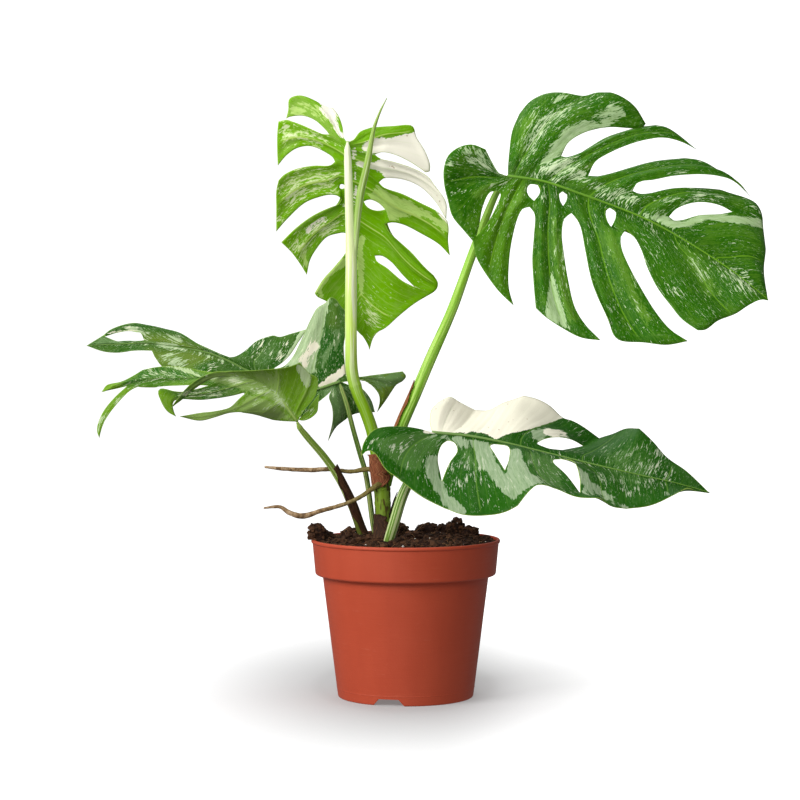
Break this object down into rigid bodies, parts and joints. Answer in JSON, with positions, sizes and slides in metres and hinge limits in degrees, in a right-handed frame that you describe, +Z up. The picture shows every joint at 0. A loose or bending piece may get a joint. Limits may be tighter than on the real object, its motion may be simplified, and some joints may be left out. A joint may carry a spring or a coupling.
{
  "type": "potted variegated monstera",
  "caption": "Young variegated monstera with split leaves on long stems, growing in a terracotta-coloured plastic nursery pot.",
  "frame": {"origin": "centre of the flat pad under the pot, on the surface that the pot stands on", "axes": "+Z up along the pot, -Y towards the side from which most leaves show their faces, +X to the right seen from that side"},
  "size_m": [0.6207, 0.1843, 0.5477],
  "materials": {
    "pot": "satin",
    "soil": "matte",
    "stem": "satin",
    "petiole_a": "satin",
    "petiole_b": "satin",
    "petiole_c": "satin",
    "petiole_d": "satin",
    "petiole_e": "satin",
    "new_leaf": "satin",
    "root": "matte",
    "sheath": "matte",
    "leaf_a": "satin",
    "leaf_b": "gloss",
    "leaf_c": "gloss",
    "leaf_d": "satin",
    "leaf_e": "gloss"
  },
  "bodies": {
    "root": {"pot": "pot", "soil": "soil", "main_stem": "stem", "petiole_a": "petiole_a", "petiole_b": "petiole_b", "petiole_c": "petiole_c", "petiole_d": "petiole_d", "petiole_e": "petiole_e", "new_leaf": "new_leaf", "aerial_root_1": "root", "aerial_root_2": "root", "node_sheath": "sheath", "base_sheath": "sheath", "petiole_b_sheath": "sheath", "petiole_d_sheath": "sheath", "leaf_a": "leaf_a", "leaf_b": "leaf_b", "leaf_c": "leaf_c", "leaf_d": "leaf_d", "leaf_e": "leaf_e"}
  },
  "joints": []
}
